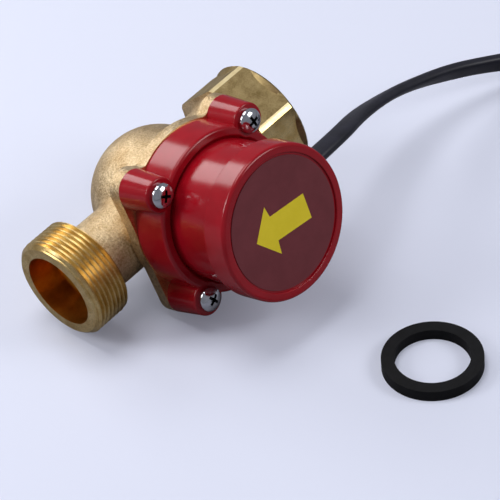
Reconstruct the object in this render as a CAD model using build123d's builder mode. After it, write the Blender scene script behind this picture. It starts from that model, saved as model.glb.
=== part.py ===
from build123d import *
from math import radians, tan
import os

# Water flow switch for a pump: a cast brass body with pipe threads at both ends, a hinged
# paddle in its chamber, and a moulded head whose microswitch follows the paddle by magnets.
# The valve frame has X along the flow line towards the inlet and Z along the sensor axis
# towards the cap. The two axes cross at its origin. Millimetres and degrees.

# How the valve lies on the table
head_lift = 17.46
inlet_lift = 5.49

# Pipe thread G 1 1/2, the same at both ends
thread_r = 23.9
thread_core_r = 22.42

# Outlet, a male thread
outlet_reach = 70.6
outlet_thread_len = 18.8
thread_lead = 1.97
outlet_mouth_r = 17.46
outlet_mouth_depth = 13.5
outlet_taper_len = 5.0
outlet_neck_r = 16.2
outlet_neck_fillet = 5.0
outlet_bore_r = 12.8

# Inlet, a female thread in a hexagon
inlet_reach = 61.0
hex_len = 21.7
hex_flat_r = 25.8
hex_round_r = 29.0
hex_turn = 5.9
inlet_rim_r = 27.8
inlet_rim_len = 0.8
inlet_rim_run = 2.0
hex_chamfer_len = 1.6
socket_chamfer = 1.5
inlet_neck_r = 22.0
inlet_neck_flare = 3.0
inlet_thread_len = 15.6
thread_relief_len = 3.4
inlet_bore_r = 15.5

# Chamber between them
chamber_r = 30.6
chamber_wall = 3.4
chamber_z = -6.9
chamber_mouth_r = 22.2

# Square flange under the sensor
seat_z = 22.35
flange_t = 6.0
screw_rim_gap = 2.803
flange_margin = 0.5
flange_notch_r = 4.0

# Cover screws, M5 pan head
screw_r = 2.5
screw_len = 22.0
screw_head_r = 5.6
screw_head_h = 3.7
screw_hole_gap = 0.25

# Ring seal in the flange face
seal_r = 26.4
seal_w = 3.0
seal_h = 1.9
seal_groove_gap = 0.2

# Moulded sensor base
base_h = 16.95
base_rim_r = 36.3
base_draft = 1.03
base_rim_round = 1.6
rim_land = 1.5
rim_groove = 1.4
boss_foot_r = 9.05
boss_top_r = 7.7
boss_round = 0.9
neck_step = 5.3
neck_wall = 3.5
neck_h = 23.7
membrane_t = 3.5
base_wall = 3.8
shoulder_t = 3.6
spigot_gap = 0.2
spigot_wall = 3.5
spigot_h = 5.0
lip_h = 6.0
lip_step = 1.3

# Cap and its label
cap_overhang = 3.1
cap_h = 12.3
cap_round = 1.6
cap_gap = 0.12
cap_top_t = 2.4
rim_w = 4.1
label_recess = 0.9
label_gap = 1.0
label_t = 0.35

# Paddle in the chamber
pivot_z = 12.0
pin_r = 1.5
pin_gap = 0.05
ear_r = 4.5
ear_t = 2.5
ear_half_gap = 3.9
hub_r = 3.4
side_play = 0.3
cup_r = 3.5
magnet_r = 2.5
magnet_h = 4.0
drive_magnet_top = 7.8
stem_half_w = 3.0
stem_half_t = 1.6
plate_r = 13.0
plate_t = 1.2
plate_drop = 19.0
rivet_r = 1.2
rivet_head_r = 2.2
rivet_head_h = 0.8
rivet_spacing = 9.0

# Rocker above the membrane
rocker_rise = 10.15
rocker_pin_r = 1.2
rocker_ear_r = 3.4
rocker_ear_t = 2.1
rocker_hub_r = 2.8
rocker_half_t = 1.5
rocker_half_w = 2.0
rocker_finger = 5.5
follower_gap = 1.3
follower_magnet_h = 3.5
follower_cup_r = 3.3

# Microswitch
button_rise = 3.0
button_r = 0.9
button_gap = 0.1
button_proud = 2.9
button_len = 4.7
button_bore = 3.7
contact_gap = 0.2
switch_depth = 10.0
switch_len = 19.8
switch_half_t = 3.2
switch_hole_spacing = 9.5
switch_hole_back = 2.4
switch_screw_r = 1.0
switch_screw_gap = 0.15
switch_screw_head_r = 1.9
switch_screw_head_h = 1.3
switch_wall_t = 2.5
switch_wall_rise = 1.1
switch_wall_margin = 1.0
blade_len = 4.6
blade_half_w = 1.4
blade_half_t = 0.25
blade_spacing = 7.6
blade_grip = 3.8

# Cable, its exit and its clamp
cable_r = 4.5
exit_rise = 13.7
exit_boss_r = 8.0
exit_boss_proud = 2.0
exit_boss_root = 0.5
bush_wall = 1.1
bush_flange_r = 7.0
bush_flange_t = 1.6
bush_tail_len = 4.0
bush_tail_r = 5.3
core_r = 0.9
core_rise = 3.6
core_back = 3.8
core_bend_r = 2.2
clamp_wall_t = 5.0
clamp_half_w = 11.0
clamp_wall_gap = 0.5
clamp_t = 1.6
clamp_arch_t = 1.6
clamp_w = 4.6
clamp_screw_offset = 8.6
clamp_screw_r = 1.1
clamp_screw_len = 8.0
clamp_screw_head_r = 2.1
clamp_screw_head_h = 1.4
jacket_inset = 2.5
cable_straight = 24.0
cable_drop = [
    (86.0, -36.5, 42.0),
    (123.0, -29.5, 30.5),
    (158.0, -33.0, 21.0),
    (189.0, -44.0, 13.0),
    (213.0, -55.5, 7.0),
]
cable_foot = (236.0, -66.6)

# Coil of spare cable and its tie
coil_r = 50.0
coil_turns_high = 2
tie_w = 4.0
tie_t = 1.0
tie_gap = 0.1
tie_angle = 250.0

# Rubber washer for the union, beside the valve
washer_r = 21.8
washer_hole_r = 16.2
washer_t = 5.2
washer_x = 13.0
washer_y = -137.4

# Places that follow from these sizes
screw_offset = (base_rim_r + screw_rim_gap) / 2**0.5
base_foot_r = base_rim_r + base_draft
neck_r = base_rim_r - neck_step
exit_boss_reach = neck_r + exit_boss_proud
cap_r = neck_r + cap_overhang
flange_z = seat_z - flange_t
flange_r = base_foot_r + flange_margin
chamber_inner_r = chamber_r - chamber_wall
base_top_z = seat_z + base_h
neck_top_z = base_top_z + neck_h
cavity_r = neck_r - neck_wall
floor_z = seat_z + membrane_t
cap_front_z = neck_top_z + cap_h
cap_floor_z = cap_front_z - label_recess
recess_r = cap_r - rim_w
label_r = recess_r - label_gap
lip_r = neck_r - lip_step
rocker_z = floor_z + rocker_rise
button_z = rocker_z + button_rise
button_tip_x = -rocker_half_t - contact_gap
switch_face_x = button_tip_x - button_proud
switch_back_x = switch_face_x - switch_depth
switch_hole_x = switch_back_x + switch_hole_back
switch_wall_y = switch_half_t
exit_z = base_top_z + exit_rise
clamp_wall_x = (cavity_r**2 - clamp_half_w**2) ** 0.5 - clamp_wall_t - clamp_wall_gap
jacket_end_x = clamp_wall_x - jacket_inset
clamp_z = exit_z - cable_r
bush_r = cable_r + bush_wall
hex_x = inlet_reach - hex_len
blade_heights = [button_z - blade_spacing, button_z, button_z + blade_spacing]
screw_places = GridLocations(2 * screw_offset, 2 * screw_offset, 2, 2)
screw_signs = [(1, 1), (-1, 1), (-1, -1), (1, -1)]

# Hexagon of the inlet: flats on a round bar, which run out into a round rim
with BuildPart() as inlet_hex:
    with BuildSketch(Plane.YZ.offset(hex_x)):
        Circle(hex_round_r)
        RegularPolygon(hex_flat_r, 6, major_radius=False, rotation=hex_turn, mode=Mode.INTERSECT)
    extrude(amount=hex_len)
    with BuildSketch(Plane.XY):
        with BuildLine():
            Polyline(
                (hex_x, 0),
                (hex_x, hex_round_r),
                (inlet_reach - hex_chamfer_len, hex_round_r),
                (inlet_reach, inlet_rim_r - inlet_rim_len / 2),
                (inlet_reach, 0),
                close=True,
            )
        make_face()
    revolve(axis=Axis.X, mode=Mode.INTERSECT)
    with BuildSketch(Plane.XY):
        rim_x = inlet_reach - inlet_rim_len
        with BuildLine():
            Polyline(
                (rim_x - inlet_rim_run, 0),
                (rim_x - inlet_rim_run, hex_flat_r),
                (rim_x, inlet_rim_r),
                (inlet_reach, inlet_rim_r - inlet_rim_len / 2),
                (inlet_reach, 0),
                close=True,
            )
        make_face()
    revolve(axis=Axis.X)

# Brass casting: chamber, outlet neck and flange first, with the fillets of the pattern
with BuildPart() as brass_body:
    with Locations((0, 0, chamber_z)):
        Sphere(chamber_r)
        Cylinder(chamber_r, flange_z - chamber_z, align=(Align.CENTER, Align.CENTER, Align.MIN))
    thread_end_x = outlet_thread_len - outlet_reach
    with BuildSketch(Plane.YZ.offset(thread_end_x)):
        Circle(outlet_neck_r)
    extrude(amount=-thread_end_x - chamber_inner_r / 2)
    with BuildSketch(Plane.XY.offset(flange_z)) as flange_outline:
        Circle(flange_r)
        Rectangle(2 * (screw_offset + boss_foot_r), 2 * screw_offset)
        with screw_places:
            Circle(boss_foot_r)
        notches = flange_outline.vertices().filter_by(lambda corner: abs(corner.Y) > screw_offset)
        fillet(notches, flange_notch_r)
    extrude(amount=flange_t)
    neck_root = (
        brass_body.edges()
        .filter_by_position(Axis.Z, -chamber_r, flange_z)
        .filter_by_position(Axis.X, -chamber_r - outlet_neck_fillet, -chamber_r / 2)
        .filter_by(GeomType.BSPLINE)
    )
    fillet(neck_root, outlet_neck_fillet)
    with BuildSketch(Plane.XY):
        with BuildLine():
            Polyline(
                (hex_x, inlet_neck_r + inlet_neck_flare),
                (hex_x, 0),
                (chamber_inner_r / 2, 0),
                (chamber_inner_r / 2, inlet_neck_r),
                (hex_x - inlet_neck_flare, inlet_neck_r),
            )
            TangentArc(
                (hex_x - inlet_neck_flare, inlet_neck_r),
                (hex_x, inlet_neck_r + inlet_neck_flare),
                tangent=(1, 0),
            )
        make_face()
        with BuildLine():
            Polyline(
                (-outlet_reach, 0),
                (-outlet_reach, thread_r - thread_lead),
                (thread_lead - outlet_reach, thread_r),
                (thread_end_x - thread_lead / 2, thread_r),
                (thread_end_x, thread_r - thread_lead / 2),
                (thread_end_x, 0),
                close=True,
            )
        make_face()
    revolve(axis=Axis.X)
    add(inlet_hex.part)
    # The ball of the chamber ends at the seat
    with BuildSketch(Plane.XY.offset(seat_z)):
        Circle(chamber_r)
    extrude(amount=chamber_r, mode=Mode.SUBTRACT)
    # Chamber with its round mouth
    with Locations((0, 0, chamber_z)):
        Sphere(chamber_inner_r, mode=Mode.SUBTRACT)
        Cylinder(
            chamber_mouth_r,
            seat_z - chamber_z,
            align=(Align.CENTER, Align.CENTER, Align.MIN),
            mode=Mode.SUBTRACT,
        )
    # Water ways
    with BuildSketch(Plane.XY):
        mouth_end_x = outlet_mouth_depth - outlet_reach
        with BuildLine():
            Polyline(
                (-outlet_reach, 0),
                (-outlet_reach, outlet_mouth_r),
                (mouth_end_x, outlet_mouth_r),
                (mouth_end_x + outlet_taper_len, outlet_bore_r),
                (-chamber_inner_r / 2, outlet_bore_r),
                (-chamber_inner_r / 2, 0),
                close=True,
            )
        make_face()
        thread_foot_x = inlet_reach - inlet_thread_len
        with BuildLine():
            Polyline(
                (inlet_reach, 0),
                (inlet_reach, thread_core_r + socket_chamfer),
                (inlet_reach - socket_chamfer, thread_core_r),
                (thread_foot_x, thread_core_r),
                (thread_foot_x, thread_r),
                (thread_foot_x - thread_relief_len, thread_r),
                (thread_foot_x - thread_relief_len, inlet_bore_r),
                (chamber_inner_r / 2, inlet_bore_r),
                (chamber_inner_r / 2, 0),
                close=True,
            )
        make_face()
    revolve(axis=Axis.X, mode=Mode.SUBTRACT)
    # Seal groove and tapped screw holes
    with BuildSketch(Plane.XY.offset(seat_z)):
        Circle(seal_r + seal_w / 2 + seal_groove_gap)
        Circle(seal_r - seal_w / 2 - seal_groove_gap, mode=Mode.SUBTRACT)
    extrude(amount=-seal_h, mode=Mode.SUBTRACT)
    with BuildSketch(Plane.XY.offset(seat_z)):
        with screw_places:
            Circle(screw_r)
    extrude(amount=-flange_t, mode=Mode.SUBTRACT)
brass_body.part.label = "brass_body"

with BuildPart() as flange_ring:
    with BuildSketch(Plane.XZ):
        with Locations((seal_r, seat_z - seal_h / 2)):
            RectangleRounded(seal_w, seal_h, seal_h / 4)
    revolve(axis=Axis.Z)
flange_ring.part.label = "flange_ring"

# One screw boss of the sensor base
with BuildPart() as screw_boss:
    Cone(boss_foot_r, boss_top_r, base_h, align=(Align.CENTER, Align.CENTER, Align.MIN))
    fillet(screw_boss.faces().sort_by(Axis.Z)[-1].edges(), boss_round)

# Moulded base: spigot, membrane, flange, neck and lip in one turned section
with BuildPart() as sensor_base:
    spigot_r = chamber_mouth_r - spigot_gap
    rim_inner_r = neck_r + rim_groove
    rim_radii = [0, 0, 0, 0, 0, 0, base_rim_round, rim_land / 2, 0, 0, 0, 0, 0, 0, 0, 0, 0]
    with BuildSketch(Plane.XZ):
        with BuildLine():
            FilletPolyline(
                (0, seat_z),
                (spigot_r - spigot_wall, seat_z),
                (spigot_r - spigot_wall, seat_z - spigot_h),
                (spigot_r, seat_z - spigot_h),
                (spigot_r, seat_z),
                (base_foot_r, seat_z),
                (base_rim_r, base_top_z),
                (rim_inner_r, base_top_z),
                (neck_r, base_top_z - rim_groove),
                (neck_r, neck_top_z),
                (lip_r, neck_top_z),
                (lip_r, neck_top_z + lip_h),
                (cavity_r, neck_top_z + lip_h),
                (cavity_r, base_top_z - shoulder_t),
                (base_rim_r - base_wall, base_top_z - shoulder_t),
                (base_rim_r - base_wall, floor_z),
                (0, floor_z),
                close=True,
                radius=rim_radii,
            )
        make_face()
    revolve(axis=Axis.Z)
    with Locations(*[(a * screw_offset, b * screw_offset, seat_z) for a, b in screw_signs]):
        add(screw_boss.part)
    with BuildSketch(Plane.XY.offset(base_top_z)):
        with screw_places:
            Circle(screw_r + screw_hole_gap)
    extrude(amount=-base_h, mode=Mode.SUBTRACT)
    # Ears for the paddle below the membrane and for the rocker above it
    for side in (1, -1):
        with BuildSketch(Plane.XZ.offset(side * ear_half_gap)):
            with Locations((0, pivot_z)):
                Circle(ear_r)
                Rectangle(2 * ear_r, seat_z - pivot_z, align=(Align.CENTER, Align.MIN))
                Circle(pin_r, mode=Mode.SUBTRACT)
        extrude(amount=side * ear_t)
        with BuildSketch(Plane.XZ.offset(side * ear_half_gap)):
            with Locations((0, rocker_z)):
                Circle(rocker_ear_r)
                Rectangle(2 * rocker_ear_r, rocker_rise, align=(Align.CENTER, Align.MAX))
                Circle(rocker_pin_r, mode=Mode.SUBTRACT)
        extrude(amount=side * rocker_ear_t)
    # Wall that carries the microswitch
    with BuildSketch(Plane.XZ.offset(-switch_wall_y)):
        wall_top = button_z + switch_len / 2 + switch_wall_rise
        with Locations((switch_face_x, floor_z)):
            Rectangle(
                switch_depth + switch_wall_margin,
                wall_top - floor_z,
                align=(Align.MAX, Align.MIN),
            )
        with Locations((switch_hole_x, button_z)):
            with GridLocations(0, switch_hole_spacing, 1, 2):
                Circle(switch_screw_r, mode=Mode.SUBTRACT)
    extrude(amount=-switch_wall_t)
    # Wall under the cable clamp
    with BuildSketch(Plane.YZ.offset(clamp_wall_x)):
        with Locations((0, floor_z)):
            Rectangle(2 * clamp_half_w, clamp_z - floor_z, align=(Align.CENTER, Align.MIN))
    extrude(amount=clamp_wall_t)
    with BuildSketch(Plane.XY.offset(clamp_z)):
        with Locations((clamp_wall_x + clamp_wall_t / 2, 0)):
            with GridLocations(0, 2 * clamp_screw_offset, 1, 2):
                Circle(clamp_screw_r)
    extrude(amount=-clamp_screw_len, mode=Mode.SUBTRACT)
    # Boss and hole where the cable leaves
    with BuildSketch(Plane.YZ.offset(cavity_r + exit_boss_root)):
        with Locations((0, exit_z)):
            Circle(exit_boss_r)
    extrude(amount=exit_boss_reach - cavity_r - exit_boss_root)
    with BuildSketch(Plane.YZ.offset(exit_boss_reach)):
        with Locations((0, exit_z)):
            Circle(bush_r)
    extrude(amount=clamp_wall_x + clamp_wall_t - exit_boss_reach, mode=Mode.SUBTRACT)
sensor_base.part.label = "sensor_base"

with BuildPart() as cap:
    with BuildSketch(Plane.XZ):
        ceiling_z = cap_floor_z - cap_top_t
        skirt_r = lip_r + cap_gap
        skirt_z = neck_top_z + lip_h + cap_gap
        with BuildLine():
            FilletPolyline(
                (0, cap_floor_z),
                (recess_r, cap_floor_z),
                (recess_r, cap_front_z),
                (cap_r, cap_front_z),
                (cap_r, neck_top_z),
                (skirt_r, neck_top_z),
                (skirt_r, skirt_z),
                (cavity_r, skirt_z),
                (cavity_r, ceiling_z),
                (0, ceiling_z),
                close=True,
                radius=[0, 0, label_recess / 2, cap_round, cap_round / 4, 0, 0, 0, 0, 0],
            )
        make_face()
    revolve(axis=Axis.Z)
cap.part.label = "cap"

with BuildPart() as label_disc:
    with BuildSketch(Plane.XY.offset(cap_floor_z)):
        Circle(label_r)
    extrude(amount=label_t)
label_disc.part.label = "label_disc"

# One cover screw: domed head on a plain shank
with BuildPart() as cover_screw:
    with BuildSketch(Plane.XZ):
        with BuildLine():
            head = [(0, 0), (0, screw_head_h), (screw_head_r, screw_head_h / 3), (screw_head_r, 0)]
            Line(head[0], head[1])
            ThreePointArc(
                head[1],
                (screw_head_r * 0.6, screw_head_h * 0.8),
                head[2],
            )
            Polyline(
                head[2],
                head[3],
                (screw_r, 0),
                (screw_r, -screw_len),
                (0, -screw_len),
                head[0],
            )
        make_face()
    revolve(axis=Axis.Z)

with BuildPart() as cover_screws:
    with Locations(
        *[(a * screw_offset, b * screw_offset, base_top_z) for a, b in screw_signs]
    ):
        add(cover_screw.part)
cover_screws.part.label = "cover_screws"

# Paddle: hub and magnet cup in one moulding with the stem
with BuildPart() as paddle_arm:
    hub_half_w = ear_half_gap - side_play
    cup_top_z = pivot_z + drive_magnet_top
    stem_foot_z = pivot_z - plate_drop - rivet_spacing / 2 - rivet_head_r
    with BuildSketch(Plane.XZ.offset(-hub_half_w)):
        with Locations((0, pivot_z)):
            Circle(hub_r)
    extrude(amount=2 * hub_half_w)
    with BuildSketch(Plane.XY.offset(pivot_z)):
        Circle(cup_r)
    extrude(amount=drive_magnet_top)
    with BuildSketch(Plane.XY.offset(pivot_z)):
        Rectangle(2 * stem_half_t, 2 * stem_half_w)
    extrude(amount=stem_foot_z - pivot_z)
    with BuildSketch(Plane.XY.offset(cup_top_z)):
        Circle(magnet_r)
    extrude(amount=-magnet_h, mode=Mode.SUBTRACT)
    with BuildSketch(Plane.XZ.offset(-hub_half_w)):
        with Locations((0, pivot_z)):
            Circle(pin_r + pin_gap)
    extrude(amount=2 * hub_half_w, mode=Mode.SUBTRACT)
    with BuildSketch(Plane.YZ.offset(-stem_half_t)):
        with Locations((0, pivot_z - plate_drop)):
            with GridLocations(0, rivet_spacing, 1, 2):
                Circle(rivet_r)
    extrude(amount=2 * stem_half_t, mode=Mode.SUBTRACT)
paddle_arm.part.label = "paddle_arm"

with BuildPart() as paddle_plate:
    with BuildSketch(Plane.YZ.offset(stem_half_t)):
        with Locations((0, pivot_z - plate_drop)):
            Circle(plate_r)
            with GridLocations(0, rivet_spacing, 1, 2):
                Circle(rivet_r, mode=Mode.SUBTRACT)
    extrude(amount=plate_t)
paddle_plate.part.label = "paddle_plate"

with BuildPart() as paddle_rivets:
    with BuildSketch(Plane.YZ.offset(-stem_half_t)):
        with Locations((0, pivot_z - plate_drop)):
            with GridLocations(0, rivet_spacing, 1, 2):
                Circle(rivet_r)
    extrude(amount=2 * stem_half_t + plate_t)
    for start, way in ((-stem_half_t, -1), (stem_half_t + plate_t, 1)):
        with BuildSketch(Plane.YZ.offset(start)):
            with Locations((0, pivot_z - plate_drop)):
                with GridLocations(0, rivet_spacing, 1, 2):
                    Circle(rivet_head_r)
        extrude(amount=way * rivet_head_h)
paddle_rivets.part.label = "paddle_rivets"

with BuildPart() as drive_magnet:
    with BuildSketch(Plane.XY.offset(cup_top_z)):
        Circle(magnet_r)
    extrude(amount=-magnet_h)
drive_magnet.part.label = "drive_magnet"

with BuildPart() as paddle_pin:
    with BuildSketch(Plane.XZ):
        with Locations((0, pivot_z)):
            Circle(pin_r)
    extrude(amount=ear_half_gap + ear_t, both=True)
paddle_pin.part.label = "paddle_pin"

# Rocker: finger above its hub, magnet cup below it
with BuildPart() as rocker:
    follower_z = floor_z + follower_gap
    with BuildSketch(Plane.XZ):
        with Locations((0, rocker_z)):
            Circle(rocker_hub_r)
    extrude(amount=ear_half_gap - side_play, both=True)
    with BuildSketch(Plane.XY.offset(rocker_z)):
        Rectangle(2 * rocker_half_t, 2 * rocker_half_w)
    extrude(amount=rocker_finger)
    with BuildSketch(Plane.XY.offset(rocker_z)):
        Rectangle(2 * rocker_half_t, 2 * rocker_half_w)
    extrude(amount=follower_z + follower_magnet_h - rocker_z)
    with BuildSketch(Plane.XY.offset(follower_z)):
        Circle(follower_cup_r)
    extrude(amount=follower_magnet_h + plate_t)
    with BuildSketch(Plane.XY.offset(follower_z)):
        Circle(magnet_r)
    extrude(amount=follower_magnet_h, mode=Mode.SUBTRACT)
    with BuildSketch(Plane.XZ):
        with Locations((0, rocker_z)):
            Circle(rocker_pin_r + pin_gap)
    extrude(amount=ear_half_gap, both=True, mode=Mode.SUBTRACT)
rocker.part.label = "rocker"

with BuildPart() as follower_magnet:
    with BuildSketch(Plane.XY.offset(follower_z)):
        Circle(magnet_r)
    extrude(amount=follower_magnet_h)
follower_magnet.part.label = "follower_magnet"

with BuildPart() as rocker_pin:
    with BuildSketch(Plane.XZ):
        with Locations((0, rocker_z)):
            Circle(rocker_pin_r)
    extrude(amount=ear_half_gap + rocker_ear_t, both=True)
rocker_pin.part.label = "rocker_pin"

# Microswitch with its button towards the rocker
with BuildPart() as switch_body:
    with BuildSketch(Plane.XZ):
        with Locations((switch_face_x, button_z)):
            Rectangle(switch_depth, switch_len, align=(Align.MAX, Align.CENTER))
        with Locations((switch_hole_x, button_z)):
            with GridLocations(0, switch_hole_spacing, 1, 2):
                Circle(switch_screw_r + switch_screw_gap, mode=Mode.SUBTRACT)
    extrude(amount=switch_half_t, both=True)
    with BuildSketch(Plane.YZ.offset(switch_face_x)):
        with Locations((0, button_z)):
            Circle(button_r + button_gap)
    extrude(amount=-button_bore, mode=Mode.SUBTRACT)
switch_body.part.label = "switch_body"

with BuildPart() as switch_button:
    with BuildSketch(Plane.YZ.offset(button_tip_x)):
        with Locations((0, button_z)):
            Circle(button_r)
    extrude(amount=-button_len)
    fillet(switch_button.faces().sort_by(Axis.X)[-1].edges(), button_r / 2)
switch_button.part.label = "switch_button"

with BuildPart() as switch_terminals:
    with BuildSketch(Plane.XZ):
        for height in blade_heights:
            with Locations((switch_back_x, height)):
                Rectangle(blade_len, 2 * blade_half_w, align=(Align.MAX, Align.CENTER))
    extrude(amount=blade_half_t, both=True)
switch_terminals.part.label = "switch_terminals"

with BuildPart() as switch_screws:
    with BuildSketch(Plane.XZ.offset(switch_half_t)):
        with Locations((switch_hole_x, button_z)):
            with GridLocations(0, switch_hole_spacing, 1, 2):
                Circle(switch_screw_r)
    extrude(amount=-2 * switch_half_t - switch_wall_t)
    with BuildSketch(Plane.XZ.offset(switch_half_t)):
        with Locations((switch_hole_x, button_z)):
            with GridLocations(0, switch_hole_spacing, 1, 2):
                Circle(switch_screw_head_r)
    extrude(amount=switch_screw_head_h)
switch_screws.part.label = "switch_screws"

# The two cores run over the rocker and down behind the microswitch to their blades
core_side = core_r + blade_half_t
core_turn_x = switch_back_x - blade_len - core_back


def core_route(side, height):
    return [
        (jacket_end_x, side, exit_z),
        (0, side, exit_z + core_rise),
        (core_turn_x, side, exit_z),
        (core_turn_x, side, height),
        (switch_back_x - blade_len + blade_grip, side, height),
    ]


with BuildPart() as core_brown:
    with BuildLine() as brown_line:
        FilletPolyline(*core_route(core_side, blade_heights[2]), radius=core_bend_r)
    with BuildSketch(Plane(origin=brown_line.line @ 0, z_dir=brown_line.line % 0)):
        Circle(core_r)
    sweep()
core_brown.part.label = "core_brown"

with BuildPart() as core_blue:
    with BuildLine() as blue_line:
        FilletPolyline(*core_route(-core_side, blade_heights[1]), radius=core_bend_r)
    with BuildSketch(Plane(origin=blue_line.line @ 0, z_dir=blue_line.line % 0)):
        Circle(core_r)
    sweep()
core_blue.part.label = "core_blue"

# Clamp strap over the cable
with BuildPart() as cable_clamp:
    clamp_mid_x = clamp_wall_x + clamp_wall_t / 2
    with BuildSketch(Plane.YZ.offset(clamp_mid_x)):
        with Locations((0, clamp_z)):
            Rectangle(2 * clamp_half_w, clamp_t, align=(Align.CENTER, Align.MIN))
            Rectangle(2 * (cable_r + clamp_arch_t), cable_r, align=(Align.CENTER, Align.MIN))
        with Locations((0, exit_z)):
            Circle(cable_r + clamp_arch_t)
            Circle(cable_r, mode=Mode.SUBTRACT)
            Rectangle(
                2 * cable_r,
                2 * cable_r,
                align=(Align.CENTER, Align.MAX),
                mode=Mode.SUBTRACT,
            )
        with Locations((0, clamp_z)):
            Rectangle(
                4 * cable_r,
                2 * clamp_arch_t,
                align=(Align.CENTER, Align.MAX),
                mode=Mode.SUBTRACT,
            )
    extrude(amount=clamp_w / 2, both=True)
    with BuildSketch(Plane.XY.offset(clamp_z)):
        with Locations((clamp_mid_x, 0)):
            with GridLocations(0, 2 * clamp_screw_offset, 1, 2):
                Circle(clamp_screw_r)
    extrude(amount=clamp_t, mode=Mode.SUBTRACT)
cable_clamp.part.label = "cable_clamp"

with BuildPart() as clamp_screws:
    with BuildSketch(Plane.XY.offset(clamp_z + clamp_t)):
        with Locations((clamp_mid_x, 0)):
            with GridLocations(0, 2 * clamp_screw_offset, 1, 2):
                Circle(clamp_screw_r)
    extrude(amount=-clamp_t - clamp_screw_len)
    with BuildSketch(Plane.XY.offset(clamp_z + clamp_t)):
        with Locations((clamp_mid_x, 0)):
            with GridLocations(0, 2 * clamp_screw_offset, 1, 2):
                Circle(clamp_screw_head_r)
    extrude(amount=clamp_screw_head_h)
clamp_screws.part.label = "clamp_screws"

# Rubber bush: sleeve in the wall, flange on the boss and a short tapered tail
with BuildPart() as cable_bush:
    with BuildSketch(Plane.XZ):
        bush_in_x = clamp_wall_x + clamp_wall_t
        tail_x = exit_boss_reach + bush_flange_t
        with BuildLine():
            Polyline(
                (bush_in_x + bush_wall, exit_z + cable_r),
                (bush_in_x + bush_wall, exit_z + bush_r),
                (exit_boss_reach, exit_z + bush_r),
                (exit_boss_reach, exit_z + bush_flange_r),
                (tail_x, exit_z + bush_flange_r),
                (tail_x + bush_tail_len, exit_z + bush_tail_r),
                (tail_x + bush_tail_len, exit_z + cable_r),
                close=True,
            )
        make_face()
    revolve(axis=Axis((0, 0, exit_z), (1, 0, 0)))
cable_bush.part.label = "cable_bush"

# The valve lies on the table with its head and its inlet lifted a little
tilt = Rot(Y=-inlet_lift) * Rot(X=90 - head_lift)
valve = [
    brass_body,
    flange_ring,
    sensor_base,
    cap,
    label_disc,
    cover_screws,
    paddle_arm,
    paddle_plate,
    paddle_rivets,
    drive_magnet,
    paddle_pin,
    rocker,
    follower_magnet,
    rocker_pin,
    switch_body,
    switch_button,
    switch_terminals,
    switch_screws,
    core_brown,
    core_blue,
    cable_clamp,
    clamp_screws,
    cable_bush,
]
tilted = Compound([tilt * piece.part for piece in (brass_body, sensor_base, cap)])
table_drop = -tilted.bounding_box().min.Z
print("table drop", round(table_drop, 3))
stand = Pos(0, 0, table_drop) * tilt

# Cable: straight out of the bush, then down to the table in one long bend
cable_points = [
    (stand * Pos(jacket_end_x, 0, exit_z)).position,
    (stand * Pos(exit_boss_reach + cable_straight, 0, exit_z)).position,
    *[Vector(*point) for point in cable_drop],
    Vector(*cable_foot, cable_r),
]
runs = [b - a for a, b in zip(cable_points, cable_points[1:])]
cable_radii = [
    0.45 * min(a.length, b.length) / tan(radians(a.get_angle(b) / 2))
    for a, b in zip(runs, runs[1:])
]
with BuildPart() as cable:
    with BuildLine() as cable_line:
        FilletPolyline(*cable_points, radius=cable_radii)
    with BuildSketch(Plane(origin=cable_line.line @ 0, z_dir=cable_line.line % 0)):
        Circle(cable_r)
    sweep()
cable.part.label = "cable"
cable_length = sum(edge.length for edge in cable_line.edges())
print("cable length", round(cable_length, 1))
print("cable radii", [round(radius, 1) for radius in cable_radii])
print("cable runs", [round(run.length, 1) for run in runs])
print("cable turns", [round(a.get_angle(b), 1) for a, b in zip(runs, runs[1:])])

# Spare cable wound flat on the table, the cable running in along its tangent
last_run = Vector(runs[-1].X, runs[-1].Y, 0).normalized()
coil_x = cable_points[-1].X + coil_r * last_run.Y
coil_y = cable_points[-1].Y - coil_r * last_run.X
coil_h = 2 * cable_r * coil_turns_high
with BuildPart() as coil_tie:
    with BuildSketch(Plane((coil_x, coil_y, 0)).rotated((0, 0, tie_angle))):
        with Locations((coil_r, 0)):
            Rectangle(2 * (cable_r + tie_gap + tie_t), tie_w)
    extrude(amount=coil_h + tie_t)
    with BuildSketch(Plane((coil_x, coil_y, tie_t)).rotated((0, 0, tie_angle))):
        with Locations((coil_r, 0)):
            Rectangle(2 * (cable_r + tie_gap), tie_w)
    extrude(amount=coil_h - tie_t, mode=Mode.SUBTRACT)
coil_tie.part.label = "coil_tie"

with BuildPart() as cable_coil:
    with BuildSketch(Plane((coil_x, coil_y, 0))):
        Circle(coil_r + cable_r)
        Circle(coil_r - cable_r, mode=Mode.SUBTRACT)
    extrude(amount=coil_h)
    with BuildSketch(Plane((coil_x, coil_y, 0)).rotated((0, 0, tie_angle))):
        with Locations((coil_r, 0)):
            Rectangle(2 * (cable_r + tie_t), tie_w + 2 * tie_gap)
    extrude(amount=tie_t, mode=Mode.SUBTRACT)
cable_coil.part.label = "cable_coil"

with BuildPart() as sealing_washer:
    with BuildSketch(Plane((washer_x, washer_y, 0))):
        Circle(washer_r)
        Circle(washer_hole_r, mode=Mode.SUBTRACT)
    extrude(amount=washer_t)
sealing_washer.part.label = "sealing_washer"

# The origin is on the table, under the middle of the valve and the washer
standing = [stand * piece.part for piece in (brass_body, sensor_base, cap, cover_screws)]
extent = Compound(standing + [sealing_washer.part]).bounding_box()
middle = extent.center()
centre = Pos(-middle.X, -middle.Y, 0)
for piece in valve:
    piece.part.locate(centre * stand)
for piece in (cable, cable_coil, coil_tie, sealing_washer):
    piece.part.locate(centre)

os.makedirs("parts", exist_ok=True)
for piece in valve + [cable, cable_coil, coil_tie, sealing_washer]:
    export_step(piece.part, f"parts/{piece.part.label}.step")
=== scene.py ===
import math
import bpy
from mathutils import Matrix, Vector


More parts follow.
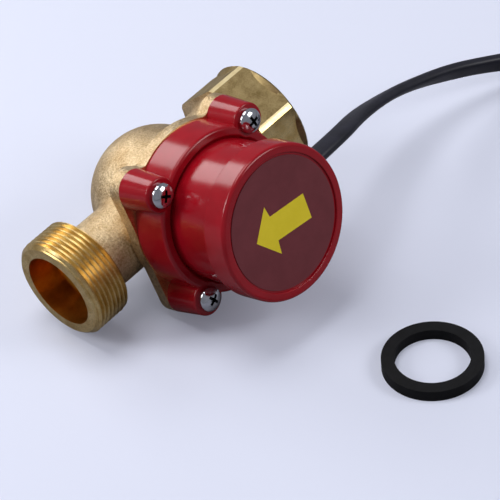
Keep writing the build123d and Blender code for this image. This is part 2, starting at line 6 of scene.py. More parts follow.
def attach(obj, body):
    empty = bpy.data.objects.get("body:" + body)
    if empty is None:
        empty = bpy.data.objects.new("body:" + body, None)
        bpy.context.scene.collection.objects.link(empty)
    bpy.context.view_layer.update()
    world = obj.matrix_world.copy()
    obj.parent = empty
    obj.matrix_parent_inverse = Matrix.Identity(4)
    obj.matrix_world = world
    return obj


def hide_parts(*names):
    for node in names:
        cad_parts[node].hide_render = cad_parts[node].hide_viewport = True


# Water flow switch: cast brass body, red moulded head, flat black cable and a loose washer.
# The valve's own frame has X along the flow line and Z along the head.
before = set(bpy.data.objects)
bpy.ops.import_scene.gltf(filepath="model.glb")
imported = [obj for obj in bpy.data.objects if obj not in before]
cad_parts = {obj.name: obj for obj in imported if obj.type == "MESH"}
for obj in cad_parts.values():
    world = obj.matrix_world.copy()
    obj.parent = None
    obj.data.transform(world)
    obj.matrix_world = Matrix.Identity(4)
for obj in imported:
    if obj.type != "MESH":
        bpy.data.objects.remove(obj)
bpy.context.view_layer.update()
mm = 0.001
weld = 0.002 * mm  # corners nearer than this become one
# how the valve lies on the floor, in millimetres and degrees
valve = {"centre": (4.51632, 61.009), "axisHeight": 32.66078, "inletLift": 5.49, "headTurn": 72.54}
valvePlace = (
    Matrix.Translation([c * mm for c in (*valve["centre"], valve["axisHeight"])])
    @ Matrix.Rotation(math.radians(-valve["inletLift"]), 4, "Y")
    @ Matrix.Rotation(math.radians(valve["headTurn"]), 4, "X")
)
print("frame loaded")

# camera
camera = {
    "at": (-0.608404, -0.626946, 0.78482), "lens": 194.8, "sensor": 36.0, "nearest": 0.05,
    "right": (0.67376331, -0.73497124, -0.07655247),
    "up": (0.51997745, 0.39795038, 0.75581674),
    "back": (-0.52503948, -0.54904715, 0.65029284),
}
bpy.ops.object.camera_add(location=camera["at"])
eye = bpy.context.object
eye.name = "camera"
cameraAxes = Matrix((camera["right"], camera["up"], camera["back"])).transposed()
eye.rotation_euler = cameraAxes.to_euler()
eye.data.lens = camera["lens"]
eye.data.sensor_width = camera["sensor"]
eye.data.clip_start = camera["nearest"]
bpy.context.scene.camera = eye
print("camera set")


def deselect():
    if bpy.context.mode != "OBJECT":
        bpy.ops.object.mode_set(mode="OBJECT")
    bpy.ops.object.select_all(action="DESELECT")


def activate(piece):
    deselect()
    piece.select_set(True)
    bpy.context.view_layer.objects.active = piece


def moveOn(offset):
    bpy.ops.mesh.extrude_region_move(TRANSFORM_OT_translate={"value": offset})


def pickFaces(piece, test):
    # selects the faces that the test picks by centre and normal, and stays in edit mode
    bpy.ops.object.mode_set(mode="EDIT")
    bpy.ops.mesh.select_mode(type="FACE")
    bpy.ops.mesh.select_all(action="DESELECT")
    bpy.ops.object.mode_set(mode="OBJECT")
    for face in piece.data.polygons:
        face.select = test(face.center, face.normal)
    bpy.ops.object.mode_set(mode="EDIT")


def finishModifiers(piece):
    activate(piece)
    for modifier in list(piece.modifiers):
        bpy.ops.object.modifier_apply(modifier=modifier.name)


def combine(piece, tool, way):
    # a Boolean with the tool, which is then gone
    change = piece.modifiers.new("combine", "BOOLEAN")
    change.operation = way
    change.solver = "EXACT"
    change.object = tool
    finishModifiers(piece)
    bpy.data.objects.remove(tool)


def closeUp(piece):
    # joins the corners that meet and turns the faces outwards
    activate(piece)
    bpy.ops.object.mode_set(mode="EDIT")
    bpy.ops.mesh.select_all(action="SELECT")
    bpy.ops.mesh.remove_doubles(threshold=weld)
    bpy.ops.mesh.normals_make_consistent(inside=False)
    bpy.ops.object.mode_set(mode="OBJECT")


def tidyFaces(piece, degrees):
    # flat neighbours become one face, so slivers left by a cut don't spoil the shading
    activate(piece)
    bpy.ops.object.mode_set(mode="EDIT")
    bpy.ops.mesh.select_all(action="SELECT")
    bpy.ops.mesh.dissolve_limited(angle_limit=math.radians(degrees))
    bpy.ops.object.mode_set(mode="OBJECT")


def weighNormals(piece, weight):
    # large faces keep their own shading, and the narrow ones beside them follow
    weigh = piece.modifiers.new("weigh", "WEIGHTED_NORMAL")
    weigh.keep_sharp = True
    weigh.weight = weight
    finishModifiers(piece)


def settle(piece):
    # the place goes into the mesh, and the object goes to the origin
    activate(piece)
    bpy.ops.object.transform_apply(location=True, rotation=True, scale=True)


def smoothBy(piece, degrees):
    activate(piece)
    bpy.ops.object.shade_smooth_by_angle(angle=math.radians(degrees))


def copyOfNode(node, name):
    piece = bpy.data.objects.new(name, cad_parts[node].data.copy())
    bpy.context.scene.collection.objects.link(piece)
    return piece


def linearColour(code):
    # sRGB hex to the linear colour that the shaders take
    channels = [int(code[i : i + 2], 16) / 255 for i in (1, 3, 5)]
    return [c / 12.92 if c <= 0.04045 else ((c + 0.055) / 1.055) ** 2.4 for c in channels] + [1]


def addNode(material, kind, settings=None, values=None, links=None):
    node = material.node_tree.nodes.new(kind)
    for name, value in (settings or {}).items():
        setattr(node, name, value)
    for socket, value in (values or {}).items():
        node.inputs[socket].default_value = value
    for socket, source in (links or {}).items():
        material.node_tree.links.new(source, node.inputs[socket])
    return node


def newMaterial(name):
    material = bpy.data.materials.new(name)
    material.use_nodes = True
    material.node_tree.nodes.clear()
    return material


# the noise of every finish: detail of the patches and of the grain, falloff, and the spans of it
# that colour and roughness use
noise = {"patch": 4.0, "grain": 3.0, "falloff": 0.6, "colour": (0.35, 0.65), "rough": (0.3, 0.7)}


def mottled(name, look):
    # two colours mixed by a coarse noise, and a fine noise in the roughness and the bump;
    # a Mix node has its factor at 0, its numbers at 2 and 3, its colours at 6 and 7
    material = newMaterial(name)
    place = addNode(material, "ShaderNodeTexCoord")
    coarse, fine = [
        addNode(
            material,
            "ShaderNodeTexNoise",
            values={
                "Scale": 1 / (look[width] * mm),
                "Detail": noise[width],
                "Roughness": noise["falloff"],
            },
            links={"Vector": place.outputs["Object"]},
        )
        for width in ("patch", "grain")
    ]
    blend = addNode(
        material,
        "ShaderNodeMix",
        values={0: look.get("speckle", 0.0)},
        links={2: coarse.outputs["Fac"], 3: fine.outputs["Fac"]},
    )
    spread = addNode(
        material,
        "ShaderNodeMapRange",
        values={"From Min": noise["colour"][0], "From Max": noise["colour"][1]},
        links={"Value": blend.outputs[0]},
    )
    colour = addNode(
        material,
        "ShaderNodeMix",
        settings={"data_type": "RGBA"},
        values={6: linearColour(look["colours"][0]), 7: linearColour(look["colours"][1])},
        links={0: spread.outputs["Result"]},
    )
    sheen = addNode(
        material,
        "ShaderNodeMapRange",
        values={
            "From Min": noise["rough"][0], "From Max": noise["rough"][1],
            "To Min": look["rough"][0], "To Max": look["rough"][1],
        },
        links={"Value": fine.outputs["Fac"]},
    )
    relief = addNode(
        material,
        "ShaderNodeBump",
        values={"Strength": look["bump"], "Distance": look["depth"] * mm},
        links={"Height": fine.outputs["Fac"]},
    )
    surface = addNode(
        material,
        "ShaderNodeBsdfPrincipled",
        values={"Metallic": look["metal"], "Specular IOR Level": look.get("gloss", 0.5)},
        links={
            "Base Color": colour.outputs[2],
            "Roughness": sheen.outputs["Result"],
            "Normal": relief.outputs["Normal"],
        },
    )
    addNode(material, "ShaderNodeOutputMaterial", links={"Surface": surface.outputs["BSDF"]})
    return material


# finishes: colours go from dark to light; patch is the width of a colour patch, grain the width of
# the fine noise and depth the height of its bump, in millimetres; speckle is the share of the grain
# in the colour
looks = {
    # leaded brass, sand cast and shot blasted: pale straw, dull, its grain drawn coarse to show
    "castBrass": {
        "colours": ("#B08E60", "#F2DDB6"), "patch": 9.0, "grain": 0.9, "rough": (0.34, 0.60),
        "bump": 1.0, "depth": 0.4, "metal": 1.0, "speckle": 0.6,
    },
    # the same brass turned on a lathe: deep gold and bright, a fine grain for its tool lines
    "turnedBrass": {
        "colours": ("#CDAA68", "#EACF92"), "patch": 6.0, "grain": 0.3, "rough": (0.25, 0.34),
        "bump": 0.12, "depth": 0.05, "metal": 1.0,
    },
    # the corners of the hexagon, planed last: pale and more chalky than metallic, a painted
    # highlight for the bright strip they show
    "planedBrassPaintedHighlight": {
        "colours": ("#DCC590", "#EBD8A6"), "patch": 6.0, "grain": 0.4, "rough": (0.34, 0.44),
        "bump": 0.2, "depth": 0.06, "metal": 0.35,
    },
    # the flats of the hexagon, milled and then tarnished: dull olive brown
    "tarnishedBrass": {
        "colours": ("#857048", "#B7A274"), "patch": 5.0, "grain": 0.7, "rough": (0.40, 0.56),
        "bump": 0.5, "depth": 0.15, "metal": 1.0, "speckle": 0.4,
    },
    # the same brass bored: orange brown, a painted shade for the dim reflections deep inside the
    # bore
    "boredBrassPaintedShade": {
        "colours": ("#B87420", "#D69236"), "patch": 8.0, "grain": 0.3, "rough": (0.28, 0.38),
        "bump": 0.12, "depth": 0.05, "metal": 0.95,
    },
    # glass filled nylon, moulded in a polished tool: deep red with a hard gloss
    "redNylon": {
        "colours": ("#940A18", "#A00D1C"), "patch": 14.0, "grain": 1.4, "rough": (0.15, 0.21),
        "bump": 0.03, "depth": 0.03, "metal": 0.0, "gloss": 0.42,
    },
    # printed polyester film: maroon, satin
    "maroonFilm": {
        "colours": ("#702A30", "#783036"), "patch": 10.0, "grain": 0.5, "rough": (0.38, 0.46),
        "bump": 0.04, "depth": 0.02, "metal": 0.0,
    },
    # screen printing ink: plain yellow, satin
    "yellowInk": {
        "colours": ("#F4DC1E", "#FAE22A"), "patch": 6.0, "grain": 0.5, "rough": (0.36, 0.42),
        "bump": 0.03, "depth": 0.02, "metal": 0.0,
    },
    # steel with a nickel and chrome plate: pale grey, mirror bright
    "platedSteel": {
        "colours": ("#C9CBD2", "#E2E4EA"), "patch": 3.0, "grain": 0.3, "rough": (0.08, 0.16),
        "bump": 0.06, "depth": 0.03, "metal": 1.0,
    },
    # the same plate down in the driver recess, dull and dark: painted shade in the recess, with a
    # little grime
    "recessShadeAndGrimeSteel": {
        "colours": ("#3A3A3E", "#4C4C50"), "patch": 3.0, "grain": 0.3, "rough": (0.30, 0.42),
        "bump": 0.1, "depth": 0.03, "metal": 1.0,
    },
    # PVC cable jacket, extruded: blue-black, satin
    "cableJacket": {
        "colours": ("#1A1A22", "#272732"), "patch": 12.0, "grain": 0.6, "rough": (0.32, 0.46),
        "bump": 0.15, "depth": 0.05, "metal": 0.0, "gloss": 0.5,
    },
    # nitrile rubber, moulded: near black, dull
    "nitrileRubber": {
        "colours": ("#09090B", "#111114"), "patch": 5.0, "grain": 0.35, "rough": (0.50, 0.68),
        "bump": 0.3, "depth": 0.06, "metal": 0.0, "gloss": 0.22,
    },
    # nylon, moulded: soft black, satin
    "blackNylon": {
        "colours": ("#17171A", "#222226"), "patch": 5.0, "grain": 0.4, "rough": (0.40, 0.52),
        "bump": 0.2, "depth": 0.04, "metal": 0.0,
    },
    # stainless steel, drawn or rolled: light grey, softly bright
    "stainless": {
        "colours": ("#B9BBBE", "#CCCED1"), "patch": 4.0, "grain": 0.2, "rough": (0.24, 0.36),
        "bump": 0.15, "depth": 0.02, "metal": 1.0,
    },
    # acetal, moulded: milky white, satin
    "whiteAcetal": {
        "colours": ("#DEDDD6", "#E8E7E1"), "patch": 6.0, "grain": 0.4, "rough": (0.38, 0.46),
        "bump": 0.1, "depth": 0.03, "metal": 0.0,
    },
    # sintered magnet, nickel plated: mid grey, bright
    "nickelMagnet": {
        "colours": ("#9C9CA2", "#B4B4BA"), "patch": 3.0, "grain": 0.2, "rough": (0.15, 0.25),
        "bump": 0.1, "depth": 0.02, "metal": 1.0,
    },
    # PVC insulation, extruded: brown and blue, satin
    "brownCore": {
        "colours": ("#5A3013", "#6B3A18"), "patch": 4.0, "grain": 0.4, "rough": (0.30, 0.40),
        "bump": 0.1, "depth": 0.03, "metal": 0.0,
    },
    "blueCore": {
        "colours": ("#1E4FA8", "#2A5FBC"), "patch": 4.0, "grain": 0.4, "rough": (0.30, 0.40),
        "bump": 0.1, "depth": 0.03, "metal": 0.0,
    },
    # brass strip, stamped: pale gold, bright
    "stampedBrass": {
        "colours": ("#D8BC78", "#E4CC8C"), "patch": 3.0, "grain": 0.2, "rough": (0.24, 0.34),
        "bump": 0.1, "depth": 0.02, "metal": 1.0,
    },
    # acetal, moulded: signal red, satin
    "redButton": {
        "colours": ("#A01818", "#B02020"), "patch": 3.0, "grain": 0.3, "rough": (0.34, 0.42),
        "bump": 0.1, "depth": 0.02, "metal": 0.0,
    },
}
finishes = {name: mottled(name, look) for name, look in looks.items()}
nodeFinishes = {
    "flange_ring": "nitrileRubber", "sensor_base": "redNylon", "cap": "redNylon",
    "label_disc": "maroonFilm", "paddle_pin": "stainless", "rocker_pin": "stainless",
    "switch_body": "blackNylon", "switch_terminals": "stampedBrass", "switch_screws": "platedSteel",
    "core_brown": "brownCore", "core_blue": "blueCore", "cable_clamp": "blackNylon",
    "clamp_screws": "platedSteel", "cable_bush": "nitrileRubber", "coil_tie": "blackNylon",
    "sealing_washer": "nitrileRubber", "paddle_arm": "whiteAcetal", "paddle_plate": "stainless",
    "paddle_rivets": "stainless", "drive_magnet": "nickelMagnet", "rocker": "whiteAcetal",
    "follower_magnet": "nickelMagnet", "switch_button": "redButton",
}
nodeSmooth = 32  # degrees between two faces that still shade as one
for node, finish in nodeFinishes.items():
    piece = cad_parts[node]
    piece.data.materials.clear()
    piece.data.materials.append(finishes[finish])
    smoothBy(piece, nodeSmooth)
print("finishes made")

# cable: two cores side by side in a flat jacket, down to the floor and round into its coil
cable = {
    "width": 9.0, "thick": 5.4, "length": 0.857, "turns": 2, "coilRadius": 50.0, "coilPoints": 14,
    "risePoints": 5, "sides": 28, "lineSteps": 12, "smooth": 40,
    "oval": (0.62, 0.78),  # powers of the section along its width and thickness, 1 is an ellipse
    # centre line in the head, in millimetres of the valve's own frame
    "head": ((17.204, 0, 53), (57, 0, 53)),
    # and after the head, in millimetres from the valve's centre on the floor
    "drop": ((86, -36.5, 42), (123, -29.5, 30.5), (158, -33, 21), (189, -44, 13), (213, -55.5, 7)),
    "foot": (236, -66.6),
    # share of the length and the turn of the long side from upright, in degrees
    "twist": (
        (0.0, 90), (0.06, 82), (0.13, 48), (0.18, 18),
        (0.24, -10), (0.30, -20), (0.42, 0), (1.0, 0),
    ),
}


def cableRoute():
    points = [valvePlace @ Vector([c * mm for c in p]) for p in cable["head"]]
    shift = Vector((*valve["centre"], 0))
    points += [(Vector(p) + shift) * mm for p in cable["drop"]]
    foot = (Vector((*cable["foot"], cable["width"] / 2)) + shift) * mm
    points.append(foot)
    run = foot - points[-2]
    run.z = 0
    run.normalize()
    centre = foot + Vector((run.y, -run.x, 0)) * cable["coilRadius"] * mm
    arm = foot - centre
    count = cable["turns"] * cable["coilPoints"]
    for step in range(1, count + 1):
        turn = Matrix.Rotation(-2 * math.pi * step / cable["coilPoints"], 3, "Z")
        # a turn rises by its width in its first part and then lies level on the one below
        laps, part = divmod(step, cable["coilPoints"])
        rise = laps - 1 + min(part / cable["risePoints"], 1) if laps else 0
        points.append(centre + turn @ arm + Vector((0, 0, cable["width"] * mm * rise)))
    return points


def smoothLine(points, name):
    # the points are the control points of one smooth line, which comes back as places along it
    line = bpy.data.curves.new(name, "CURVE")
    line.dimensions = "3D"
    spline = line.splines.new("NURBS")
    spline.points.add(len(points) - 1)
    for point, place in zip(spline.points, points):
        point.co = (*place, 1)
    spline.order_u = 3
    spline.use_endpoint_u = True
    spline.resolution_u = cable["lineSteps"]
    holder = bpy.data.objects.new(name, line)
    mesh = bpy.data.meshes.new_from_object(holder)
    result = [v.co.copy() for v in mesh.vertices]
    bpy.data.objects.remove(holder)
    return result


def sideAt(share):
    # how far the long side has turned there, in radians
    for (a, first), (b, last) in zip(cable["twist"], cable["twist"][1:]):
        if share <= b:
            t = (share - a) / (b - a)
            t = t * t * (3 - 2 * t)
            return math.radians(first + (last - first) * t)
    return 0.0


def flatCable(line):
    # oval sections along the line: their long side starts level and turns as the cable twists
    around = cable["sides"]
    half, thin = cable["width"] / 2 * mm, cable["thick"] / 2 * mm
    lengths = [0]
    for a, b in zip(line, line[1:]):
        lengths.append(lengths[-1] + (b - a).length)
    vertices, faces = [], []
    for i, point in enumerate(line):
        ahead = line[min(i + 1, len(line) - 1)] - line[max(i - 1, 0)]
        ahead.normalize()
        level = ahead.cross(Vector((0, 0, 1))).normalized()
        upright = level.cross(ahead).normalized()
        turn = sideAt(lengths[i] / lengths[-1])
        long = upright * math.cos(turn) + level * math.sin(turn)
        short = ahead.cross(long)
        for k in range(around):
            angle = 2 * math.pi * k / around
            c, s = math.cos(angle), math.sin(angle)
            vertices.append(
                point
                + long * half * math.copysign(abs(c) ** cable["oval"][0], c)
                + short * thin * math.copysign(abs(s) ** cable["oval"][1], s)
            )
    for i in range(len(line) - 1):
        for k in range(around):
            a, b = i * around + k, i * around + (k + 1) % around
            faces.append((a, b, b + around, a + around))
    last = (len(line) - 1) * around
    faces.append(tuple(reversed(range(around))))
    faces.append(tuple(range(last, last + around)))
    mesh = bpy.data.meshes.new("flatCable")
    mesh.from_pydata(vertices, [], faces)
    piece = bpy.data.objects.new("flatCable", mesh)
    bpy.context.scene.collection.objects.link(piece)
    closeUp(piece)
    return piece, lengths[-1]


cableLine = smoothLine(cableRoute(), "cableLine")
flexCable, cableLength = flatCable(cableLine)
print("cable length", round(cableLength, 4))
flexCable.data.materials.append(finishes["cableJacket"])
smoothBy(flexCable, cable["smooth"])
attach(flexCable, "valve")
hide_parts("cable", "cable_coil")
print("cable made")

# pipe thread G 1 1/2, 11 turns to the inch, 55 degree flanks, sizes in millimetres
thread = {
    "pitch": 2.309, "crest": 23.9, "root": 22.42, "flat": 0.385, "round": 0.07, "steps": 96,
    "spareTurns": 2,  # swept beyond each end, and cut off again
}


def threadedRod(name, start, end):
    # one tooth drawn point by point, swept along its helix, then cut square at both ends
    deselect()
    pitch, flat, bulge = thread["pitch"], thread["flat"], thread["round"]
    flank = pitch / 2 - flat
    depth = thread["crest"] - thread["root"]
    bpy.ops.mesh.primitive_plane_add(size=mm, location=(0, 0, 0))
    rod = bpy.context.object
    rod.name = name
    bpy.ops.object.mode_set(mode="EDIT")
    bpy.ops.mesh.select_all(action="SELECT")
    bpy.ops.mesh.merge(type="CENTER")
    lead = start - thread["spareTurns"] * pitch
    bpy.ops.transform.translate(value=(lead * mm, 0, thread["root"] * mm))
    for x, z in (
        (flat / 2, -bulge), (flat / 2, bulge), (flank, depth - bulge),
        (flat / 2, bulge), (flat / 2, -bulge), (flank, bulge - depth),
    ):
        moveOn((x * mm, 0, z * mm))
    bpy.ops.object.mode_set(mode="OBJECT")
    sweep = rod.modifiers.new("sweep", "SCREW")
    sweep.axis = "X"
    sweep.screw_offset = pitch * mm
    sweep.iterations = math.ceil((end - start) / pitch) + 2 * thread["spareTurns"]
    sweep.steps = sweep.render_steps = thread["steps"]
    sweep.use_merge_vertices = True
    sweep.merge_threshold = weld
    finishModifiers(rod)
    for place, way in ((start, 1), (end, -1)):
        bpy.ops.object.mode_set(mode="EDIT")
        bpy.ops.mesh.select_all(action="SELECT")
        bpy.ops.mesh.bisect(
            plane_co=(place * mm, 0, 0), plane_no=(way, 0, 0), use_fill=True, clear_inner=True
        )
        bpy.ops.object.mode_set(mode="OBJECT")
    closeUp(rod)
    return rod


def rodAlongX(name, radius, start, end, sides):
    deselect()
    bpy.ops.mesh.primitive_cylinder_add(
        vertices=sides, radius=radius * mm, depth=(end - start) * mm,
        location=((start + end) / 2 * mm, 0, 0), rotation=(0, math.pi / 2, 0),
    )
    rod = bpy.context.object
    rod.name = name
    settle(rod)
    return rod


# brass body: the CAD casting with its threads cut
far = 99  # beyond the casting on every side
body = {
    "threadStart": -71.2, "threadEnd": -51.8, "socketStart": 45.4, "socketEnd": 62.0,
    # the sleeve that the outlet's thread is cut with, and how far it and the threads run over
    "sleeve": 27.0, "sleeveSides": 128, "sleeveOver": 0.02, "threadOver": 1,
    # degrees within which faces become one, and shade as one, and the weight of large faces
    "flat": 0.4, "smooth": 20, "weight": 90,
    "finishes": ("castBrass", "turnedBrass", "boredBrassPaintedShade", "planedBrassPaintedHighlight", "tarnishedBrass"),
    # where the machined faces lie, by the distance along the flow line and out from it, by the
    # height towards the head and the share of the normal that way: the first that fits holds
    "zones": (
        {"finish": "turnedBrass", "along": (-far, -51.7), "out": (17.5, far)},  # outlet's thread
        # the mouth and the bores take the orange brown brass: painted shade inside them
        {"finish": "boredBrassPaintedShade", "along": (-far, -51.9), "out": (-far, 17.6)},  # its mouth
        {"finish": "boredBrassPaintedShade", "along": (-far, -12), "out": (-far, 13.2)},  # its bore
        {"finish": "boredBrassPaintedShade", "along": (12, 42.1), "out": (-far, 15.7)},  # inlet's bore
        {"finish": "turnedBrass", "along": (41.9, far), "out": (-far, 24.5)},  # its thread
        {"finish": "turnedBrass", "along": (60.9, far)},  # its end
        {"finish": "turnedBrass", "above": 22.3, "upward": 0.9},  # faces that look to the head
        # the hexagon's corners take a paler, less metallic finish as a painted highlight
        {"finish": "planedBrassPaintedHighlight", "along": (39.5, 59.4), "out": (28.4, far)},  # hexagon's corners
        {"finish": "tarnishedBrass", "along": (39.5, far), "out": (24.6, far)},  # its flats
    ),
}


def zoneFinish(face):
    x, y, z = face.center / mm
    out = math.hypot(y, z)
    for zone in body["zones"]:
        start, end = zone.get("along", (-far, far))
        inner, outer = zone.get("out", (-far, far))
        towardsHead = z > zone.get("above", -far) and face.normal.z > zone.get("upward", -far)
        if start < x < end and inner < out < outer and towardsHead:
            return zone["finish"]
    return "castBrass"


def brassBody():
    casting = copyOfNode("brass_body", "brassCasting")
    casting.data.transform(valvePlace.inverted())
    closeUp(casting)
    # the outlet's thread is what a sleeve with the thread inside leaves of the plain cylinder
    over = body["threadOver"]
    sleeveEnd = body["threadEnd"] + body["sleeveOver"]
    sleeve = rodAlongX(
        "sleeve", body["sleeve"], body["threadStart"], sleeveEnd, body["sleeveSides"]
    )
    core = threadedRod("maleThread", body["threadStart"] - over, body["threadEnd"] + over)
    combine(sleeve, core, "DIFFERENCE")
    combine(casting, sleeve, "DIFFERENCE")
    tap = threadedRod("femaleThread", body["socketStart"] - over, body["socketEnd"])
    combine(casting, tap, "DIFFERENCE")
    casting.data.materials.clear()
    for name in body["finishes"]:
        casting.data.materials.append(finishes[name])
    for face in casting.data.polygons:
        face.material_index = body["finishes"].index(zoneFinish(face))
    casting.data.transform(valvePlace)
    tidyFaces(casting, body["flat"])
    smoothBy(casting, body["smooth"])
    weighNormals(casting, body["weight"])
    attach(casting, "valve")
    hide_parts("brass_body")


brassBody()
print("brass body made")

# cover screws, M5 pan head with a cross recess
screw = {
    "head": 5.58, "height": 3.68, "edge": 1.2, "sides": 64, "domeSteps": 9, "smooth": 32,
    "shank": 2.45, "depth": 22.0,
    # the recess: width and half length of a slot, depth, size at its foot, and the rim of plain
    # plate left above the painted shade
    "slot": 1.9, "reach": 3.9, "recess": 2.8, "taper": 0.45, "rim": 0.25,
    # half the distance between two screws, and the height of their seats over the flow line
    "half": 27.65, "seat": 39.3,
    # the corner of the flange that each stands in, and its turn in degrees
    "stands": ((1, 1, 12), (-1, 1, 58), (-1, -1, 31), (1, -1, 74)),
}


def coverScrew():
    # a low cylinder whose top is drawn in ring by ring to a dome, and its underside to the shank
    deselect()
    bpy.ops.mesh.primitive_cylinder_add(
        vertices=screw["sides"], radius=screw["head"] * mm, depth=screw["edge"] * mm,
        location=(0, 0, screw["edge"] / 2 * mm),
    )
    head = bpy.context.object
    head.name = "coverScrew"
    settle(head)
    pickFaces(head, lambda centre, normal: normal.z > 0.9)
    rise = screw["height"] - screw["edge"]
    for step in range(1, screw["domeSteps"]):
        below, angle = [k / screw["domeSteps"] * math.pi / 2 for k in (step - 1, step)]
        inward = screw["head"] * (math.cos(below) - math.cos(angle))
        upward = rise * math.sin(angle) - rise * math.sin(below)
        bpy.ops.mesh.inset(thickness=inward * mm, depth=0)
        bpy.ops.transform.translate(value=(0, 0, upward * mm))
    pickFaces(head, lambda centre, normal: normal.z < -0.9)
    bpy.ops.mesh.inset(thickness=(screw["head"] - screw["shank"]) * mm, depth=0)
    moveOn((0, 0, -screw["depth"] * mm))
    bpy.ops.object.mode_set(mode="OBJECT")
    for turn in (0, math.pi / 2):
        deselect()
        bpy.ops.mesh.primitive_cube_add(
            size=1, location=(0, 0, screw["height"] * mm), rotation=(0, 0, turn)
        )
        blade = bpy.context.object
        blade.dimensions = (2 * screw["reach"] * mm, screw["slot"] * mm, 2 * screw["recess"] * mm)
        settle(blade)
        pickFaces(blade, lambda centre, normal: normal.z < -0.9)
        bpy.ops.transform.resize(value=(screw["taper"], screw["taper"], 1))
        bpy.ops.object.mode_set(mode="OBJECT")
        combine(head, blade, "DIFFERENCE")
    closeUp(head)
    head.data.materials.append(finishes["platedSteel"])
    head.data.materials.append(finishes["recessShadeAndGrimeSteel"])
    # faces down in the recess take the dark steel: painted shade, with a little grime
    for face in head.data.polygons:
        x, y, z = face.center / mm
        out = math.hypot(x, y)
        dome = screw["edge"] + rise * math.sqrt(max(0, 1 - (out / screw["head"]) ** 2))
        sunkInShade = screw["edge"] / 2 < z < dome - screw["rim"] and out < screw["reach"]
        face.material_index = 1 if sunkInShade else 0
    smoothBy(head, screw["smooth"])
    return head


screwPieces = [coverScrew()]
for number in range(1, len(screw["stands"])):
    another = bpy.data.objects.new(f"coverScrew{number}", screwPieces[0].data.copy())
    bpy.context.scene.collection.objects.link(another)
    screwPieces.append(another)
for one, (alongX, alongY, turn) in zip(screwPieces, screw["stands"]):
    place = [c * mm for c in (alongX * screw["half"], alongY * screw["half"], screw["seat"])]
    one.data.transform(Matrix.Translation(place) @ Matrix.Rotation(math.radians(turn), 4, "Z"))
    one.data.transform(valvePlace)
    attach(one, "valve")
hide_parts("cover_screws")
print("screws made")

# flow arrow printed on the label
arrow = {
    "points": (
        (-16.5, 1.1), (-5.9, 12.5), (-5.2, 7.0), (14.7, 4.8),
        (14.0, -7.4), (-6.0, -4.8), (-7.1, -11.1),
    ),
    "face": 74.75, "thick": 0.05,
}


def flowArrow():
    deselect()
    bpy.ops.mesh.primitive_circle_add(vertices=len(arrow["points"]), radius=mm, fill_type="NGON")
    piece = bpy.context.object
    piece.name = "flowArrow"
    for vertex, (x, y) in zip(piece.data.vertices, arrow["points"]):
        vertex.co = (x * mm, y * mm, arrow["face"] * mm)
    bpy.ops.object.mode_set(mode="EDIT")
    bpy.ops.mesh.select_all(action="SELECT")
    moveOn((0, 0, arrow["thick"] * mm))
    bpy.ops.object.mode_set(mode="OBJECT")
    closeUp(piece)
    piece.data.materials.append(finishes["yellowInk"])
    piece.data.transform(valvePlace)
    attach(piece, "valve")


flowArrow()
print("arrow made")

# floor and light
studio = {
    "floorSize": 8, "rough": 0.6, "gloss": 0.2,
    "paper": "#DEE2F3", "bounce": "#85868F",  # the floor for the camera, and for other light
    "glow": "#E2E6FA", "glowFrom": (0.3, 1.4), "glowShare": (0.16, 1.0),  # distances in metres
    "sky": "#F1F3FF", "skyOnPart": 0.24, "skyInView": 0.86,
}
deselect()
bpy.ops.mesh.primitive_plane_add(size=studio["floorSize"], location=(0, 0, 0))
floor = bpy.context.object
floor.name = "floor"
floorPaint = newMaterial("floorPaint")
rays = addNode(floorPaint, "ShaderNodeLightPath")
# the paper is pale for the camera and darker for the light that bounces off it
floorTint = addNode(
    floorPaint,
    "ShaderNodeMix",
    settings={"data_type": "RGBA"},
    values={6: linearColour(studio["bounce"]), 7: linearColour(studio["paper"])},
    links={0: rays.outputs["Is Camera Ray"]},
)
floorShader = addNode(
    floorPaint,
    "ShaderNodeBsdfPrincipled",
    values={"Roughness": studio["rough"], "Specular IOR Level": studio["gloss"]},
    links={"Base Color": floorTint.outputs[2]},
)
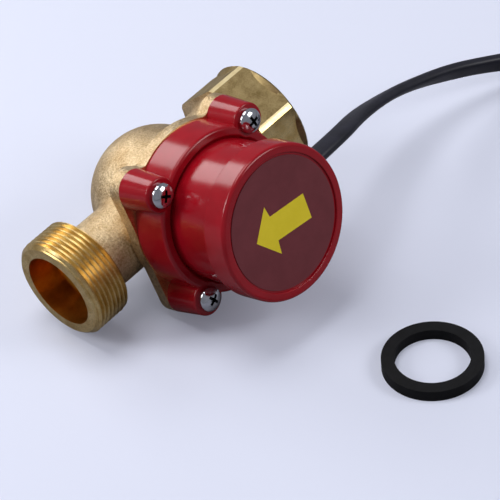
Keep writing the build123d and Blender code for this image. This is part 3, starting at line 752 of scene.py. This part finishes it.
# for the camera the floor also glows: a little by the part, where it lifts the soft shadows, and
# fully far off
floorGlow = addNode(
    floorPaint,
    "ShaderNodeEmission",
    values={"Color": linearColour(studio["glow"]), "Strength": 1.0},
)
spot = addNode(floorPaint, "ShaderNodeNewGeometry")
away = addNode(
    floorPaint,
    "ShaderNodeVectorMath",
    settings={"operation": "LENGTH"},
    links={0: spot.outputs["Position"]},
)
fade = addNode(
    floorPaint,
    "ShaderNodeMapRange",
    values={
        "From Min": studio["glowFrom"][0], "From Max": studio["glowFrom"][1],
        "To Min": studio["glowShare"][0], "To Max": studio["glowShare"][1],
    },
    links={"Value": away.outputs["Value"]},
)
glowShare = addNode(
    floorPaint,
    "ShaderNodeMath",
    settings={"operation": "MULTIPLY"},
    links={0: rays.outputs["Is Camera Ray"], 1: fade.outputs["Result"]},
)
floorMix = addNode(
    floorPaint,
    "ShaderNodeMixShader",
    links={0: glowShare.outputs[0], 1: floorShader.outputs["BSDF"], 2: floorGlow.outputs[0]},
)
addNode(floorPaint, "ShaderNodeOutputMaterial", links={"Surface": floorMix.outputs[0]})
floor.data.materials.append(floorPaint)

# soft panels, places and sizes in metres, power in watts
lamps = {
    "backPanel": {"at": (0.05, 1.0, 0.6), "aim": (0.0, 0.05, 0.03), "size": 0.5, "power": 3.6},
    "topPanel": {"at": (-0.05, 0.30, 1.2), "aim": (0.0, 0.0, 0.0), "size": 0.6, "power": 5.9},
    "leftPanel": {"at": (-0.85, 0.75, 0.75), "aim": (0.0, 0.03, 0.03), "size": 0.5, "power": 6.2},
    "rightPanel": {"at": (0.55, -0.85, 0.75), "aim": (0.0, 0.0, 0.03), "size": 0.5, "power": 4.6},
}
for name, lamp in lamps.items():
    bpy.ops.object.light_add(type="AREA", location=lamp["at"])
    light = bpy.context.object
    light.name = name
    light.data.size = lamp["size"]
    light.data.energy = lamp["power"]
    back = Vector(lamp["at"]) - Vector(lamp["aim"])
    light.rotation_euler = back.to_track_quat("Z", "Y").to_euler()
sky = bpy.data.worlds.new("studio")
bpy.context.scene.world = sky
sky.use_nodes = True
backdrop = sky.node_tree.nodes["Background"]
backdrop.inputs["Color"].default_value = linearColour(studio["sky"])
# the camera sees the sky as pale as the floor, while the part gets only a weak fill from it
skyRays = addNode(sky, "ShaderNodeLightPath")
skyLevel = addNode(
    sky,
    "ShaderNodeMapRange",
    values={"To Min": studio["skyOnPart"], "To Max": studio["skyInView"]},
    links={"Value": skyRays.outputs["Is Camera Ray"]},
)
sky.node_tree.links.new(skyLevel.outputs["Result"], backdrop.inputs["Strength"])
bpy.context.scene.view_settings.view_transform = "Standard"
print("floor and light made")
